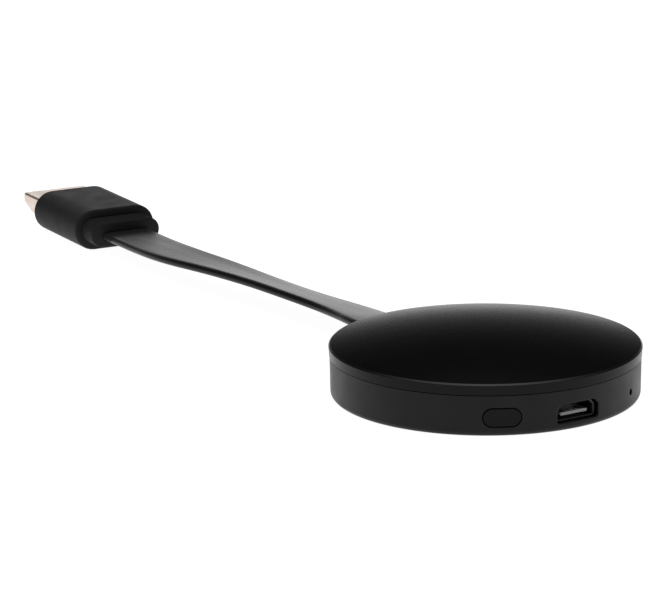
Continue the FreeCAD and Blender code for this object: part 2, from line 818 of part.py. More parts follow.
def hdmi_shell():
    tube = hdmi_prism(0, shell_y0, shell_y1).cut(hdmi_prism(hdmi_sheet, shell_y0, shell_y1))
    dx, dy = window_size
    y1 = shell_y1 - window_inset
    for x in (-window_x, window_x):
        tube = tube.cut(box(x - dx / 2, x + dx / 2, y1 - dy, y1, 0, plug_h))
    return on_cable(tube)


def hdmi_insulator():
    tip = shell_y1 - insulator_inset
    body = hdmi_prism(hdmi_sheet + press_gap, shell_y0, tip)
    half_w, half_h = slot_w / 2, slot_h / 2
    slot = box(-half_w, half_w, tip - slot_depth, tip + cut_over, hdmi_z - half_h, hdmi_z + half_h)
    return on_cable(body.cut(slot))


def hdmi_contacts():
    """Contacts above and below the slot at 1 mm pitch, half a pitch apart."""
    w, length, t = hdmi_contact
    y1 = shell_y1 - insulator_inset - contact_inset
    levels = (hdmi_z + slot_h / 2 - t, hdmi_z - slot_h / 2)
    bars = []
    for count, z0 in zip(hdmi_contact_n, levels):
        for i in range(count):
            x = i - (count - 1) / 2
            bars.append(box(x - w / 2, x + w / 2, y1 - length, y1, z0, z0 + t))
    return on_cable(group(bars))


# --- write every sub-part --------------------------------------------------------------------
makers = (
    top_cover, lower_housing, main_pcb, board_screws, usb_shell, usb_insulator, usb_contacts,
    button_cap, tact_switch_body, tact_switch_plunger, light_pipe, status_led,
    soc, memory_chips, flash_chip, wifi_module, crystal, power_inductors, capacitors, antennas,
    shield_can, soc_pad, thermal_pad, heat_spreader,
    flat_cable, cable_wires, cable_grommet, cable_clamp, clamp_screws,
    plug_overmold, plug_collar, plug_core, hdmi_shell, hdmi_insulator, hdmi_contacts,
)

os.makedirs("parts", exist_ok=True)
for maker in makers:
    shape = maker()
    if not shape.isValid() or not shape.Solids:
        print("check this shape:", maker.__name__)
    shape.exportStep("parts/%s.step" % maker.__name__)
print("wrote %d sub-parts" % len(makers))
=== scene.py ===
import bpy
import math
import bmesh
from mathutils import Matrix, Vector
from mathutils.geometry import delaunay_2d_cdt


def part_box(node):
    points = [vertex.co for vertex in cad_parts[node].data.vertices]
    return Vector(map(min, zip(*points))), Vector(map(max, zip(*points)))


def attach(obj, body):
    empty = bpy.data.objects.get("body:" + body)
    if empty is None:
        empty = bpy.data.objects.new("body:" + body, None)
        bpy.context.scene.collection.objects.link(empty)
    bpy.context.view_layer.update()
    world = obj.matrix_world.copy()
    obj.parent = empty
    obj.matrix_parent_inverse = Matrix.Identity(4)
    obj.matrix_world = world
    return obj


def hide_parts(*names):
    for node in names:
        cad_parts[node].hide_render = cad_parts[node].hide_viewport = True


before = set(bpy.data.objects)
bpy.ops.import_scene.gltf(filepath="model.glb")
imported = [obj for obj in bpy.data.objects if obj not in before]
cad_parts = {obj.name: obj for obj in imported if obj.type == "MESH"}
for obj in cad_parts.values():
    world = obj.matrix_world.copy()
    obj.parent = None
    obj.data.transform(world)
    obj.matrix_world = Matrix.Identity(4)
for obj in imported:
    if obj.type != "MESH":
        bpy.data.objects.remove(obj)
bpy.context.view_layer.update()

MM = 0.001

# Camera, in metres: where it stands, what it looks at, its lens and its slight roll.
CAMERA_AT = Vector((-0.33303, -0.46439, 0.16310))
CAMERA_AIM = Vector((-0.02184, 0.01650, 0.01652))
CAMERA_LENS = 189.76
CAMERA_ROLL = math.radians(-0.65)

# The flat cable: control points of its route in metres, from inside the puck to inside the plug.
CABLE_ROUTE = (
    (0.0, 0.0174, 0.0054),
    (0.0, 0.0320, 0.0054),
    (0.0026, 0.0465, 0.0043),
    (0.0020, 0.0605, 0.0042),
    (0.0011, 0.0745, 0.0044),
    (0.0, 0.0882, 0.0046),
    (-0.0012, 0.1018, 0.00445),
    (0.0004, 0.1175, 0.00375),
    (0.00178, 0.1330, 0.00375),
)
CABLE_W, CABLE_T = 10.0, 1.55
TWIST_MOST = math.radians(12.2)    # the flat cable leans this much at TWIST_Y
TWIST_Y, TWIST_REACH = 66.6, (50.0, 42.0)   # reach towards the puck and towards the plug

# Studio: sky brightness by elevation in degrees, and the floor's own glow, as on a light table.
SKY = (
    (0.0, 0.21), (6.0, 0.11), (14.0, 0.018), (30.0, 0.006), (52.0, 0.02), (72.0, 0.6), (90.0, 0.8),
)
SKY_STRENGTH = 2.4
FLOOR_GLOW = 0.97
FLOOR_HALF = 6.0
PANEL_AWAY = 0.5          # panels stand this far behind what mirrors them
PLUG_PANEL = ((0.30, 0.16), 0.2)       # size in metres, power
CABLE_PANEL = ((0.60, 0.30), 0.5)

# Sizes below are millimetres, as in the CAD.
RIM_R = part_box("top_cover")[1].x / MM
TOP_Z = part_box("top_cover")[1].z / MM
DOME_H, CHAMFER = 3.1, 0.28
SEAM_GAP, LIP_T, LIP_H = 0.08, 1.05, 0.9
RIM_Z = TOP_Z - DOME_H - CHAMFER
SKIRT_H, SKIRT_TAPER = 1.65, 0.08
SEAM_Z = RIM_Z - SKIRT_H
HOUSING_TOP_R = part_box("lower_housing")[1].x / MM
HOUSING_TOP_Z = SEAM_Z - SEAM_GAP
BOTTOM_R, BOTTOM_EDGE = 26.75, 1.0
CAVITY_R, FLOOR_T, COVER_T = 24.9, 1.3, 1.4
LIP_R = CAVITY_R + LIP_T
LIP_Z = SEAM_Z + LIP_H
FIT = 0.1
EDGE_R = RIM_R - CHAMFER
SPHERE_R = (EDGE_R ** 2 + DOME_H ** 2) / (2 * DOME_H)
SPHERE_Z = TOP_Z - SPHERE_R
EDGE_HIGHLIGHT_MARGIN = 0.03        # the painted highlight on the chamfer reaches this far past it
TOP_ROUND = 0.1
WALL_TOP = HOUSING_TOP_Z - TOP_ROUND
WALL_LEAN = (HOUSING_TOP_R - BOTTOM_R) / (HOUSING_TOP_Z - BOTTOM_EDGE)
LIP_ROUND, PORT_LIP = 0.1, 0.22
LIP_STEPS = 6             # rings round an opening's lip
WALL_ROWS = 6
HOOKS = (30.0, 150.0, 200.0, 340.0)
HOOK_W, HOOK_T, HOOK_DROP, BARB_H = 5.0, 0.9, 2.2, 0.8
BOARD_Z = 4.3
POST_ROOT = 0.2           # posts start this far inside the floor
POST_RING_R, POST_ANGLES, POST_R, BORE_R, BORE_DEEP = 19.3, (15, 165, 215, 325), 2.0, 0.75, 2.3
CLAMP_X, CLAMP_Y, CLAMP_POST_R = 8.2, (17.6, 20.2), 1.5
SNUG = 0.05               # clearance round the cable

USB_W, USB_H, USB_SHEET, USB_Z = 7.5, 2.5, 0.25, 3.05
USB_FRONT, USB_LEN, USB_FLARE = -25.7, 5.4, 0.2
USB_SLANT = 0.9
BUTTON_TURN, BUTTON_W, BUTTON_H, BUTTON_Z = math.radians(-29.6), 6.4, 3.1, 3.3
BUTTON_GAP, BUTTON_EDGE, BUTTON_BACK = 0.12, 0.14, -24.4
EAR_W, EAR_T, EAR_TRIM = 1.0, 0.6, 0.15
LED_TURN, LED_R, LED_Z = math.radians(31.2), 0.55, 3.2
PIPE_SEAT_Y, PIPE_SEAT_HALF, PIPE_HALF_H = (-22.3, -20.3), 1.0, 0.4
WINDOW_W, WINDOW_H, CABLE_Z = 11.2, 2.7, 5.4

PLUG_W, PLUG_H, PLUG_LEN, PLUG_EDGE = 17.5, 8.2, 21.6, 0.5
COLLAR_W, COLLAR_H, COLLAR_LEN, COLLAR_DEPTH, COLLAR_EDGE = 15.0, 5.0, 5.2, 1.5, 0.35
COLLAR_CABLE_Z = CABLE_ROUTE[-1][2] / MM
HDMI_W, HDMI_H, HDMI_SHEET, HDMI_SIDE, HDMI_LOW_W = 13.9, 4.45, 0.35, 1.8, 10.6
HDMI_BACK, HDMI_TIP, HDMI_Z = 14.4, 30.7, PLUG_H / 2
HDMI_SLANT_SHARE = 0.7    # the lower corners' inner outline moves in by this share
SPRING_X, SPRING_HALF, SPRING_Y = 3.3, 0.85, (6.0, 3.4)    # spring windows, behind the tip

ANGLES = [math.radians(k) for k in range(-120, 240)]
UNROLL_R = 26.5


# --- finishes -------------------------------------------------------------------------
def noise(tree, coords, scale, detail=2.0, stretch=None):
    node = tree.nodes.new("ShaderNodeTexNoise")
    node.inputs["Scale"].default_value = scale
    node.inputs["Detail"].default_value = detail
    source = coords
    if stretch:
        mapping = tree.nodes.new("ShaderNodeMapping")
        mapping.inputs["Scale"].default_value = stretch
        tree.links.new(coords, mapping.inputs["Vector"])
        source = mapping.outputs["Vector"]
    tree.links.new(source, node.inputs["Vector"])
    return node.outputs["Fac"]


def ranged(tree, value, low, high, spread=0.22):
    """value, a noise round 0.5, stretched to low..high."""
    node = tree.nodes.new("ShaderNodeMapRange")
    node.inputs["From Min"].default_value = 0.5 - spread
    node.inputs["From Max"].default_value = 0.5 + spread
    node.inputs["To Min"].default_value = low
    node.inputs["To Max"].default_value = high
    tree.links.new(value, node.inputs["Value"])
    return node.outputs["Result"]


def finish(name, color, rough, metal=0.0, spec=0.5, grain=0.0, grain_scale=6000.0, blotch=0.05,
           tone=0.12, brush=None, clear=0.0, sheen=0.0):
    """A moulded or stamped surface: tone and gloss vary a little, and a fine grain lifts it."""
    mat = bpy.data.materials.new(name)
    mat.use_nodes = True
    tree = mat.node_tree
    shader = tree.nodes["Principled BSDF"]
    shader.inputs["Metallic"].default_value = metal
    shader.inputs["Specular IOR Level"].default_value = spec
    shader.inputs["Transmission Weight"].default_value = clear
    shader.inputs["Sheen Weight"].default_value = sheen
    shader.inputs["Sheen Roughness"].default_value = 0.35
    coords = tree.nodes.new("ShaderNodeTexCoord").outputs["Object"]
    ramp = tree.nodes.new("ShaderNodeValToRGB")
    ramp.color_ramp.elements[0].position = 0.3
    ramp.color_ramp.elements[1].position = 0.7
    for element, share in zip(ramp.color_ramp.elements, (1 - tone, 1 + tone)):
        element.color = [min(1.0, c * share) for c in color] + [1.0]
    tree.links.new(noise(tree, coords, 90.0, 3.0), ramp.inputs["Fac"])
    tree.links.new(ramp.outputs["Color"], shader.inputs["Base Color"])
    gloss = noise(tree, coords, 260.0, 4.0, brush)
    low, high = max(0.02, rough - blotch), min(1.0, rough + blotch)
    tree.links.new(ranged(tree, gloss, low, high), shader.inputs["Roughness"])
    if grain:
        bump = tree.nodes.new("ShaderNodeBump")
        bump.inputs["Distance"].default_value = grain
        tree.links.new(noise(tree, coords, grain_scale, 2.0, brush), bump.inputs["Height"])
        tree.links.new(bump.outputs["Normal"], shader.inputs["Normal"])
    return mat


FINISHES = {
    "cover_gloss": dict(color=(0.0016, 0.0016, 0.0018), rough=0.27, blotch=0.01, grain=0.0000005,
                        grain_scale=1400.0, spec=0.14),
    # cover_edge: the cover's black plastic with a lighter colour and more specular, a painted
    # highlight along the rim chamfer
    "cover_edge": dict(color=(0.004, 0.004, 0.0045), rough=0.30, blotch=0.01, grain=0.0000005,
                       spec=0.5),
    "housing_satin": dict(color=(0.0022, 0.0022, 0.0024), rough=0.40, grain=0.000006, spec=0.22),
    "button_satin": dict(color=(0.0020, 0.0020, 0.0022), rough=0.38, grain=0.000005, spec=0.14),
    "cable_jacket": dict(color=(0.004, 0.004, 0.0045), rough=0.27, grain=0.000010,
                         grain_scale=3200.0, spec=0.12, brush=(1.0, 0.05, 1.0), sheen=0.25),
    "plug_mould": dict(color=(0.024, 0.024, 0.0245), rough=0.50, grain=0.000006, spec=0.05),
    "plug_metal": dict(color=(0.80, 0.66, 0.58), rough=0.36, metal=1.0, grain=0.000003,
                       grain_scale=2500.0, brush=(1.0, 0.08, 1.0)),
    # port_metal: the shell's metal darkened far below bare plating, painted shade for the port's
    # dark interior
    "port_metal": dict(color=(0.045, 0.045, 0.045), rough=0.34, metal=1.0, grain=0.000003),
    "port_tongue": dict(color=(0.33, 0.33, 0.33), rough=0.45, grain=0.000004),
    "port_tin": dict(color=(0.75, 0.75, 0.76), rough=0.30, metal=1.0, grain=0.000001),
    "contact_gold": dict(color=(0.85, 0.60, 0.25), rough=0.22, metal=1.0, grain=0.000001),
    "insulator_black": dict(color=(0.012, 0.012, 0.012), rough=0.45, grain=0.000004),
    "board_mask": dict(color=(0.010, 0.050, 0.030), rough=0.35, grain=0.000006,
                       grain_scale=900.0, tone=0.4),
    "chip_black": dict(color=(0.02, 0.02, 0.022), rough=0.60, grain=0.000006),
    "can_metal": dict(color=(0.60, 0.60, 0.58), rough=0.34, metal=1.0, grain=0.000004),
    "spreader_metal": dict(color=(0.70, 0.70, 0.71), rough=0.38, metal=1.0, grain=0.000005,
                           brush=(1.0, 0.06, 1.0)),
    "pad_grey": dict(color=(0.20, 0.22, 0.25), rough=0.80, grain=0.00001, grain_scale=2500.0),
    "screw_steel": dict(color=(0.50, 0.50, 0.50), rough=0.30, metal=1.0, grain=0.000002),
    "pipe_clear": dict(color=(0.80, 0.82, 0.84), rough=0.25, grain=0.000002, clear=0.7),
    "led_white": dict(color=(0.80, 0.79, 0.72), rough=0.40, grain=0.000002),
    "ceramic": dict(color=(0.35, 0.25, 0.17), rough=0.50, grain=0.000003),
    "ferrite": dict(color=(0.05, 0.05, 0.05), rough=0.65, grain=0.000006),
    "copper": dict(color=(0.80, 0.42, 0.26), rough=0.30, metal=1.0, grain=0.000002),
    "grommet_rubber": dict(color=(0.012, 0.012, 0.012), rough=0.62, grain=0.00001),
    "core_mould": dict(color=(0.02, 0.02, 0.02), rough=0.60, grain=0.00001),
}
NODE_FINISHES = {"usb_insulator": "port_tongue", "usb_contacts": "port_tin"}
MATERIALS = {name: finish(name + "_finish", **values) for name, values in FINISHES.items()}


def finish_nodes():
    """Every CAD node takes its slot's finish."""
    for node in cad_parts.values():
        for place in node.material_slots:
            slot = place.material.name.split(".")[0]
            place.material = MATERIALS[NODE_FINISHES.get(node.name, slot)]


# --- outlines and profiles, millimetres ---------------------------------------------------
def rounded(corners, radii, steps=6, closed=False, support=0.07):
    """Points along the corners, each rounded to its radius, with a support point at each side."""
    count = len(corners)
    points = []
    for i, corner in enumerate(corners):
        here, radius = Vector(corner), radii[i]
        if not radius or (not closed and i in (0, count - 1)):
            points.append(here)
            continue
        to_a = (Vector(corners[i - 1]) - here).normalized()
        to_b = (Vector(corners[(i + 1) % count]) - here).normalized()
        turn = math.pi - to_a.angle(to_b)
        reach = radius * math.tan(turn / 2)
        centre = here + (to_a + to_b).normalized() * (radius / math.cos(turn / 2))
        first, last = here + to_a * reach - centre, here + to_b * reach - centre
        points.append(here + to_a * (reach + support))
        for k in range(steps + 1):
            part = turn * k / steps
            mix = first * math.sin(turn - part) + last * math.sin(part)
            points.append(centre + mix / math.sin(turn))
        points.append(here + to_b * (reach + support))
    return points


def stadium(w, h, grow=0.0, z=0.0, steps=16):
    """A stadium as (x, z) points, with columns of points along its flat sides."""
    w, h = w + 2 * grow, h + 2 * grow
    half, r = w / 2 - h / 2, h / 2
    points = []
    for side in (1, -1):
        for k in range(steps + 1):
            a = math.pi * (0.5 - k / steps)
            points.append((side * (half + r * math.cos(a)), z + side * r * math.sin(a)))
        for k in range(1, 12):
            x = side * half * (1 - 2 * k / 12)
            points.append((x, z - side * r))
    return points


def port_outline(grow, widen=0.0, corner=0.3):
    w, h = USB_W / 2 + grow + widen, USB_H / 2 + grow
    knee, top = h - USB_SLANT, w - USB_SLANT
    corners = [(-w, -h), (w, -h), (w, knee), (top, h), (-top, h), (-w, knee)]
    smooth = rounded(corners, [max(0.05, corner + grow)] * 6, closed=True)
    return [(p.x, p.y + USB_Z) for p in smooth]


def hdmi_outline(shrink, corner=0.55):
    top, high, low = HDMI_W / 2 - shrink, HDMI_H / 2 - shrink, shrink - HDMI_H / 2
    foot = HDMI_LOW_W / 2 - HDMI_SLANT_SHARE * shrink
    knee = HDMI_H / 2 - HDMI_SIDE
    corners = [(-top, high), (top, high), (top, knee), (foot, low), (-foot, low), (-top, knee)]
    smooth = rounded(corners, [corner - shrink] * 6, closed=True)
    return [(p.x, p.y + HDMI_Z) for p in smooth]


def dome_z(r, drop=0.0):
    return SPHERE_Z + math.sqrt(SPHERE_R ** 2 - r ** 2) - drop


def wall_radius(z):
    return BOTTOM_R + WALL_LEAN * (z - BOTTOM_EDGE)


def cavity_radius(z):
    """The cavity's wall is upright, so its radius is the same at every height."""
    return CAVITY_R


def round_z(x, y, angle):
    c, s = math.cos(angle), math.sin(angle)
    return x * c - y * s, x * s + y * c


def in_wall(points, turn, radius_at, depth=0.0):
    """(x, z) points of an opening's outline, pushed along the opening's axis on to the wall."""
    out = []
    for x, z in points:
        y = depth - math.sqrt(radius_at(z) ** 2 - x ** 2)
        out.append(round_z(x, y, turn) + (z,))
    return out


# --- meshes -----------------------------------------------------------------------------
class Mould:
    """Rings of points in millimetres, joined into one mesh."""

    def __init__(self):
        self.bm = bmesh.new()

    def ring(self, points):
        return [self.bm.verts.new(Vector(p) * MM) for p in points]

    def bridge(self, a, b):
        count = max(len(a), len(b))
        for i in range(count):
            j = (i + 1) % count
            if len(a) == 1:
                self.bm.faces.new((a[0], b[j], b[i]))
            elif len(b) == 1:
                self.bm.faces.new((a[i], a[j], b[0]))
            else:
                self.bm.faces.new((a[i], a[j], b[j], b[i]))

    def loft(self, rings):
        made = [self.ring(points) for points in rings]
        for a, b in zip(made, made[1:]):
            self.bridge(a, b)
        return made[0], made[-1]

    def lathe(self, profile):
        return self.loft([[(0.0, 0.0, z)] if r == 0 else turned(r, z) for r, z in profile])

    def fill(self, *rings):
        edges = []
        for ring in rings:
            for a, b in zip(ring, ring[1:] + ring[:1]):
                edges.append(self.bm.edges.get((a, b)) or self.bm.edges.new((a, b)))
        bmesh.ops.triangle_fill(self.bm, use_beauty=True, edges=edges)

    def block(self, x, y, z, turn=0.0):
        """A box between x, y and z pairs, turned about Z."""
        rings = []
        for level in z:
            corners = [(x[0], y[0]), (x[1], y[0]), (x[1], y[1]), (x[0], y[1])]
            rings.append([round_z(px, py, turn) + (level,) for px, py in corners])
        low, high = self.loft(rings)
        self.fill(low)
        self.fill(high)

    def wall(self, radius_at, z0, z1, holes):
        """The sheet of wall round the puck between two heights, with holes left open.
        A hole is its outline's points on the wall."""
        flat, edges, loops = [], [], []
        columns = ANGLES + [ANGLES[-1] + math.radians(1)]
        rows = WALL_ROWS
        for hole in holes:
            loop = [unrolled(point) for point in hole]
            first = len(flat)
            flat += loop
            loops.append(loop)
            edges += [(first + k, first + (k + 1) % len(loop)) for k in range(len(loop))]
        for row in range(rows + 1):
            v = z0 + (z1 - z0) * row / rows
            for angle in columns:
                spot = Vector((angle * UNROLL_R, v))
                edge_row = row in (0, rows)
                if edge_row or all(clear_of(spot, loop) for loop in loops):
                    flat.append(spot)
        spots, _, tris = delaunay_2d_cdt(flat, edges, [], 0, 1e-6)[:3]
        made = []
        for u, v in spots:
            a, r = u / UNROLL_R, radius_at(v)
            made.append(self.bm.verts.new(Vector((r * math.sin(a), -r * math.cos(a), v)) * MM))
        for tri in tris:
            middle = sum((Vector(spots[k]) for k in tri), Vector((0, 0))) / 3
            if not any(inside(middle, loop) for loop in loops):
                self.bm.faces.new([made[k] for k in tri])

    def piece(self, name, slot, body, replaced=(), sharp=35.0, normal_of=None, place=None):
        bmesh.ops.remove_doubles(self.bm, verts=self.bm.verts, dist=0.0005 * MM)
        bmesh.ops.recalc_face_normals(self.bm, faces=self.bm.faces)
        if place:
            bmesh.ops.transform(self.bm, matrix=place, verts=self.bm.verts)
        mesh = bpy.data.meshes.new(name)
        self.bm.to_mesh(mesh)
        self.bm.free()
        mesh.shade_smooth()
        mesh.set_sharp_from_angle(angle=math.radians(sharp))
        if normal_of:
            normals = [normal_of(v.co / MM) for v in mesh.vertices]
            mesh.normals_split_custom_set_from_vertices(normals)
        mesh.materials.append(MATERIALS[slot])
        obj = bpy.data.objects.new(name, mesh)
        bpy.context.scene.collection.objects.link(obj)
        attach(obj, body)
        if replaced:
            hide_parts(*replaced)
        return obj


def turned(r, z):
    return [(r * math.sin(a), -r * math.cos(a), z) for a in ANGLES]


def unrolled(point):
    """A point on the wall as (distance round, height)."""
    angle = math.atan2(point[0], -point[1])
    if angle < ANGLES[0]:
        angle += 2 * math.pi
    return Vector((angle * UNROLL_R, point[2]))


def inside(spot, loop):
    """Whether a spot lies in a convex loop."""
    signs = set()
    for a, b in zip(loop, loop[1:] + loop[:1]):
        side = (b.x - a.x) * (spot.y - a.y) - (b.y - a.y) * (spot.x - a.x)
        signs.add(side > 0)
    return len(signs) == 1


def clear_of(spot, loop, room=0.3):
    if abs(spot.x - loop[0].x) > 20:
        return True
    return not inside(spot, loop) and min((spot - p).length for p in loop) > room


# --- puck ---------------------------------------------------------------------------------
def dome_normal(co):
    centre = Vector((0, 0, SPHERE_Z))
    away = co - centre
    r = math.hypot(co.x, co.y)
    if abs(away.length - SPHERE_R) < 0.002 and r < EDGE_R - 0.2:
        return away.normalized()
    return Vector((0, 0, 0))


def make_cover():
    mould = Mould()
    outer = [(EDGE_R * k / 70, dome_z(EDGE_R * k / 70)) for k in range(70)]
    skirt_r = RIM_R - SKIRT_TAPER
    in_r = LIP_R + FIT
    shelf = LIP_Z + FIT
    rim = [
        outer[-1], (EDGE_R, RIM_Z + CHAMFER), (RIM_R, RIM_Z), (skirt_r, SEAM_Z), (in_r, SEAM_Z),
        (in_r, shelf), (CAVITY_R, shelf), (CAVITY_R, dome_z(CAVITY_R, COVER_T)),
    ]
    edge = rounded(rim, (0, 0.07, 0.1, 0.12, 0, 0, 0, 0), support=0.05)
    inner = [(CAVITY_R * k / 40, dome_z(CAVITY_R * k / 40, COVER_T)) for k in range(39, -1, -1)]
    mould.lathe(outer[:-1] + [tuple(p) for p in edge] + inner)
    hook_r, barb_top = CAVITY_R - 2 * FIT, RIM_Z - HOOK_DROP
    hook_x, hook_low = (-HOOK_W / 2, HOOK_W / 2), barb_top - BARB_H
    for angle in HOOKS:
        turn = math.radians(angle - 90)
        mould.block(hook_x, (hook_r - HOOK_T, hook_r - 0.05), (hook_low, shelf + 0.3), turn)
        mould.block(hook_x, (hook_r - 0.15, hook_r + 0.55), (hook_low, barb_top), turn)
    cover = mould.piece("cover_skin", "cover_gloss", "puck", ["top_cover"], normal_of=dome_normal)
    paint_edge_highlight(cover)
    return cover


def paint_edge_highlight(cover):
    """The chamfer between dome and skirt takes a brighter copy of the cover's finish: a painted
    highlight.
    """
    cover.data.materials.append(MATERIALS["cover_edge"])
    for face in cover.data.polygons:
        centre = face.center / MM
        in_height = RIM_Z < centre.z < RIM_Z + CHAMFER + EDGE_HIGHLIGHT_MARGIN
        if in_height and math.hypot(centre.x, centre.y) > EDGE_R - EDGE_HIGHLIGHT_MARGIN:
            face.material_index = 1


def wall_normal(co):
    r = math.hypot(co.x, co.y)
    if abs(r - wall_radius(co.z)) < 0.002 and BOTTOM_EDGE - 0.01 <= co.z <= WALL_TOP + 0.01:
        return Vector((co.x / r, co.y / r, -WALL_LEAN)).normalized()
    return Vector((0, 0, 0))


def openings():
    """Each opening's turn about Z, its rounded lip, and its outline for a given growth."""
    return [
        (0.0, PORT_LIP, lambda grow: port_outline(USB_FLARE + 0.1 + grow, 0.2)),
        (BUTTON_TURN, LIP_ROUND,
         lambda grow: stadium(BUTTON_W, BUTTON_H, BUTTON_GAP + grow, BUTTON_Z)),
        (LED_TURN, LIP_ROUND, lambda grow: stadium(2 * LED_R + 0.002, 2 * LED_R, grow, LED_Z)),
        (math.pi, LIP_ROUND, lambda grow: stadium(WINDOW_W, WINDOW_H, grow, CABLE_Z)),
    ]


def make_housing():
    mould = Mould()
    flat_r = BOTTOM_R - BOTTOM_EDGE
    foot = [(flat_r, 0.0)]
    for k in range(1, 13):
        a = math.pi / 2 * k / 12
        r, z = flat_r + BOTTOM_EDGE * math.sin(a), BOTTOM_EDGE - BOTTOM_EDGE * math.cos(a)
        foot.append((r, z))
    under = [(0, 0.0)] + [(r, 0.0) for r in (8.0, 16.0, 22.0, 25.0)]
    mould.lathe(under + foot)
    rim = [
        (wall_radius(WALL_TOP), WALL_TOP), (HOUSING_TOP_R, HOUSING_TOP_Z), (LIP_R, HOUSING_TOP_Z),
        (LIP_R, LIP_Z), (CAVITY_R, LIP_Z),
    ]
    mould.lathe([tuple(p) for p in rounded(rim, (0, 0.06, 0, 0, 0), support=0.02)])
    mould.lathe([(CAVITY_R, FLOOR_T), (16.0, FLOOR_T), (8.0, FLOOR_T), (0, FLOOR_T)])
    outside, within = [], []
    for turn, lip, outline in openings():
        rings = []
        for k in range(LIP_STEPS):
            t = math.pi / 2 * k / (LIP_STEPS - 1)
            grow, depth = lip * (1 - math.sin(t)), lip * (1 - math.cos(t))
            rings.append(in_wall(outline(grow), turn, wall_radius, depth))
        rings.append(in_wall(outline(0), turn, wall_radius, lip + 0.08))
        rings.append(in_wall(outline(0), turn, cavity_radius))
        outside.append(rings[0])
        within.append(rings[-1])
        mould.loft(rings)
    mould.wall(wall_radius, BOTTOM_EDGE, WALL_TOP, outside)
    mould.wall(cavity_radius, FLOOR_T, LIP_Z, within)
    add_posts(mould)
    return mould.piece("housing_skin", "housing_satin", "puck", ["lower_housing"],
                       normal_of=wall_normal)


def add_posts(mould):
    """Screw bosses, the cable's bed and the light pipe's seat on the floor."""
    root = FLOOR_T - POST_ROOT
    spots = []
    for degrees in POST_ANGLES:
        a = math.radians(degrees)
        spots.append((POST_RING_R * math.cos(a), POST_RING_R * math.sin(a), POST_R, BOARD_Z))
    for side in (-1, 1):
        clamp_z = CABLE_Z + CABLE_T / 2 + SNUG
        spots.append((side * CLAMP_X, sum(CLAMP_Y) / 2, CLAMP_POST_R, clamp_z))
    for x, y, post_r, top in spots:
        rings = []
        for r, z in ((post_r, root), (post_r, top), (BORE_R, top), (BORE_R, top - BORE_DEEP)):
            rings.append([(x + r * math.cos(a), y + r * math.sin(a), z) for a in ANGLES[::9]])
        low, bore = mould.loft(rings)
        mould.fill(low)
        mould.fill(bore)
    bed_top = CABLE_Z - CABLE_T / 2 - SNUG
    mould.block((-CABLE_W / 2, CABLE_W / 2), CLAMP_Y, (root, bed_top))
    seat_x = (-PIPE_SEAT_HALF, PIPE_SEAT_HALF)
    mould.block(seat_x, PIPE_SEAT_Y, (root, LED_Z - PIPE_HALF_H), LED_TURN)


def make_button():
    mould = Mould()
    edge = BUTTON_EDGE
    face = stadium(BUTTON_W, BUTTON_H, -edge)
    rings = []
    for k in range(1, 13):
        share = k / 12
        points = [(x * share, BUTTON_Z + z * share) for x, z in face]
        rings.append(in_wall(points, BUTTON_TURN, wall_radius))
    for k in range(1, 6):
        t = math.pi / 2 * k / 5
        points = stadium(BUTTON_W, BUTTON_H, edge * (math.sin(t) - 1), BUTTON_Z)
        rings.append(in_wall(points, BUTTON_TURN, wall_radius, edge * (1 - math.cos(t))))
    side = stadium(BUTTON_W, BUTTON_H, 0, BUTTON_Z)
    rings.append(in_wall(side, BUTTON_TURN, wall_radius, edge + 0.08))
    rings.append([round_z(x, BUTTON_BACK, BUTTON_TURN) + (z,) for x, z in side])
    front, rear = mould.loft(rings)
    mould.fill(front)
    mould.fill(rear)
    half_w, half_h = BUTTON_W / 2 + EAR_W, BUTTON_H / 2 - EAR_TRIM
    ears_z = (BUTTON_Z - half_h, BUTTON_Z + half_h)
    mould.block((-half_w, half_w), (BUTTON_BACK, BUTTON_BACK + EAR_T), ears_z, BUTTON_TURN)
    return mould.piece("button_skin", "button_satin", "button", ["button_cap"],
                       normal_of=wall_normal)


def make_port():
    """The receptacle's shell: folded sheet with a flared, rounded mouth."""
    mould = Mould()
    steps = [         # growth of the outline, and the distance behind the mouth
        (0.0, USB_LEN), (0.0, 0.75), (0.03, 0.6), (0.17, 0.1), (USB_FLARE, 0.04), (0.17, 0.0),
        (0.0, 0.0), (-0.05, 0.05), (-0.2, 0.55), (-USB_SHEET, 0.75),
        (-USB_SHEET, USB_LEN - USB_SHEET),
    ]
    rings = [at_y(port_outline(grow, 0.0, 0.4), USB_FRONT + behind) for grow, behind in steps]
    outer, inner = mould.loft(rings)
    mould.fill(outer)
    mould.fill(inner)
    return mould.piece("port_skin", "port_metal", "puck", ["usb_shell"])


# --- cable and plug -------------------------------------------------------------------------
def route_points():
    """Points read from the route's NURBS spline, in millimetres."""
    data = bpy.data.curves.new("route", "CURVE")
    data.dimensions = "3D"
    data.resolution_u = 20
    spline = data.splines.new("NURBS")
    spline.points.add(len(CABLE_ROUTE) - 1)
    for point, at in zip(spline.points, CABLE_ROUTE):
        point.co = (*at, 1.0)
    spline.order_u = 3
    spline.use_endpoint_u = True
    holder = bpy.data.objects.new("route", data)
    mesh = bpy.data.meshes.new_from_object(holder)
    points = [v.co.copy() for v in mesh.vertices]
    bpy.data.objects.remove(holder)
    bpy.data.curves.remove(data)
    bpy.data.meshes.remove(mesh)
    return points


def twist_at(y):
    away = y / MM - TWIST_Y
    share = away / TWIST_REACH[away > 0]
    if abs(share) >= 1:
        return 0.0
    return TWIST_MOST * math.cos(math.pi / 2 * share) ** 2


def make_cable(path):
    mould = Mould()
    section = stadium(CABLE_W, CABLE_T, steps=14)
    rings = []
    for i, at in enumerate(path):
        along = (path[min(i + 1, len(path) - 1)] - path[max(i - 1, 0)]).normalized()
        across = along.cross(Vector((0, 0, 1))).normalized()
        across = Matrix.Rotation(twist_at(at.y), 3, along) @ across
        up = across.cross(along)
        rings.append([at / MM + across * x + up * z for x, z in section])
    first, last = mould.loft(rings)
    mould.fill(first)
    mould.fill(last)
    return mould.piece("cable_ribbon", "cable_jacket", "puck", ["flat_cable"])


